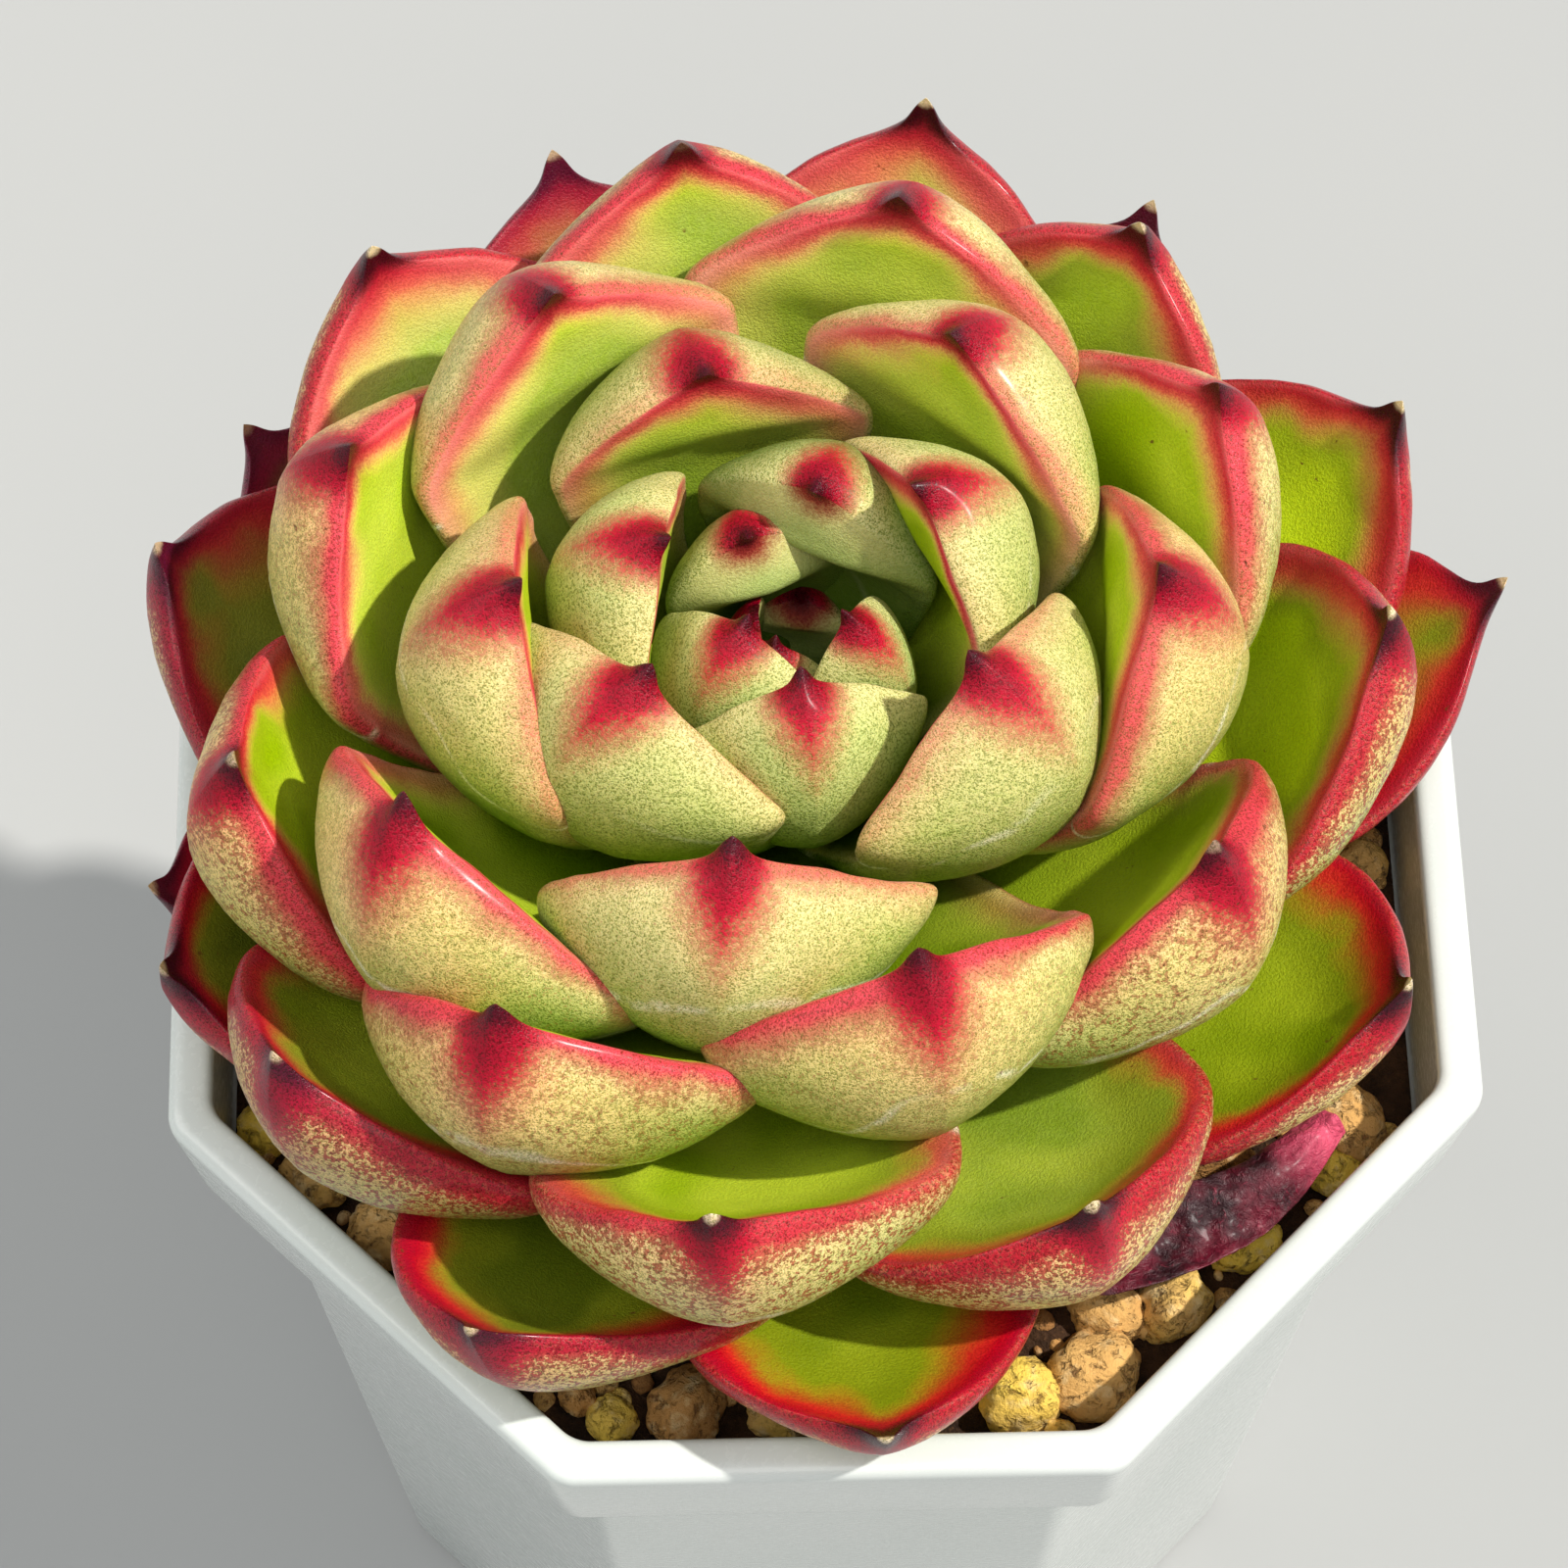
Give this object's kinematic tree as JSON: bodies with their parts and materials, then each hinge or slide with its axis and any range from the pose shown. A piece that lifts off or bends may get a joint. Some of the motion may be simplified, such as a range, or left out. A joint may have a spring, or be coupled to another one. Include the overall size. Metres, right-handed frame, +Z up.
{
  "type": "potted moonstone echeveria",
  "caption": "Rosette succulent with thick pointed green leaves edged in red, in a tall white octagonal plastic pot filled with soil and small porous stones.",
  "frame": {"origin": "centre of the pot's flat underside, which is the face that the object stands on", "axes": "+Z up along the pot's axis, X and Y square to the pot's flat sides, -Y towards the side that the picture was taken from"},
  "size_m": [0.0887, 0.0916, 0.122],
  "materials": {
    "pot": "gloss",
    "soil": "matte",
    "gravel": "matte",
    "stem": "matte",
    "leaf_inner": "satin",
    "leaf_middle": "satin",
    "leaf_outer": "satin",
    "dried_leaf": "matte"
  },
  "bodies": {
    "root": {"pot": "pot", "soil": "soil", "gravel": "gravel", "stem": "stem", "dried_leaf": "dried_leaf", "leaf_01": "leaf_inner", "leaf_02": "leaf_inner", "leaf_03": "leaf_inner", "leaf_04": "leaf_inner", "leaf_05": "leaf_inner", "leaf_06": "leaf_inner", "leaf_07": "leaf_inner", "leaf_08": "leaf_inner", "leaf_09": "leaf_inner", "leaf_10": "leaf_inner", "leaf_11": "leaf_inner", "leaf_12": "leaf_inner", "leaf_13": "leaf_middle", "leaf_14": "leaf_middle", "leaf_15": "leaf_middle", "leaf_16": "leaf_middle", "leaf_17": "leaf_middle", "leaf_18": "leaf_middle", "leaf_19": "leaf_middle", "leaf_20": "leaf_middle", "leaf_21": "leaf_middle", "leaf_22": "leaf_middle", "leaf_23": "leaf_middle", "leaf_24": "leaf_middle", "leaf_25": "leaf_middle", "leaf_26": "leaf_middle", "leaf_27": "leaf_middle", "leaf_28": "leaf_middle", "leaf_29": "leaf_middle", "leaf_30": "leaf_middle", "leaf_31": "leaf_outer", "leaf_32": "leaf_outer", "leaf_33": "leaf_outer", "leaf_34": "leaf_outer", "leaf_35": "leaf_outer", "leaf_36": "leaf_outer", "leaf_37": "leaf_outer", "leaf_38": "leaf_outer", "leaf_39": "leaf_outer", "leaf_40": "leaf_outer", "leaf_41": "leaf_outer", "leaf_42": "leaf_outer", "leaf_43": "leaf_outer", "leaf_44": "leaf_outer", "leaf_48": "leaf_outer"}
  },
  "joints": []
}
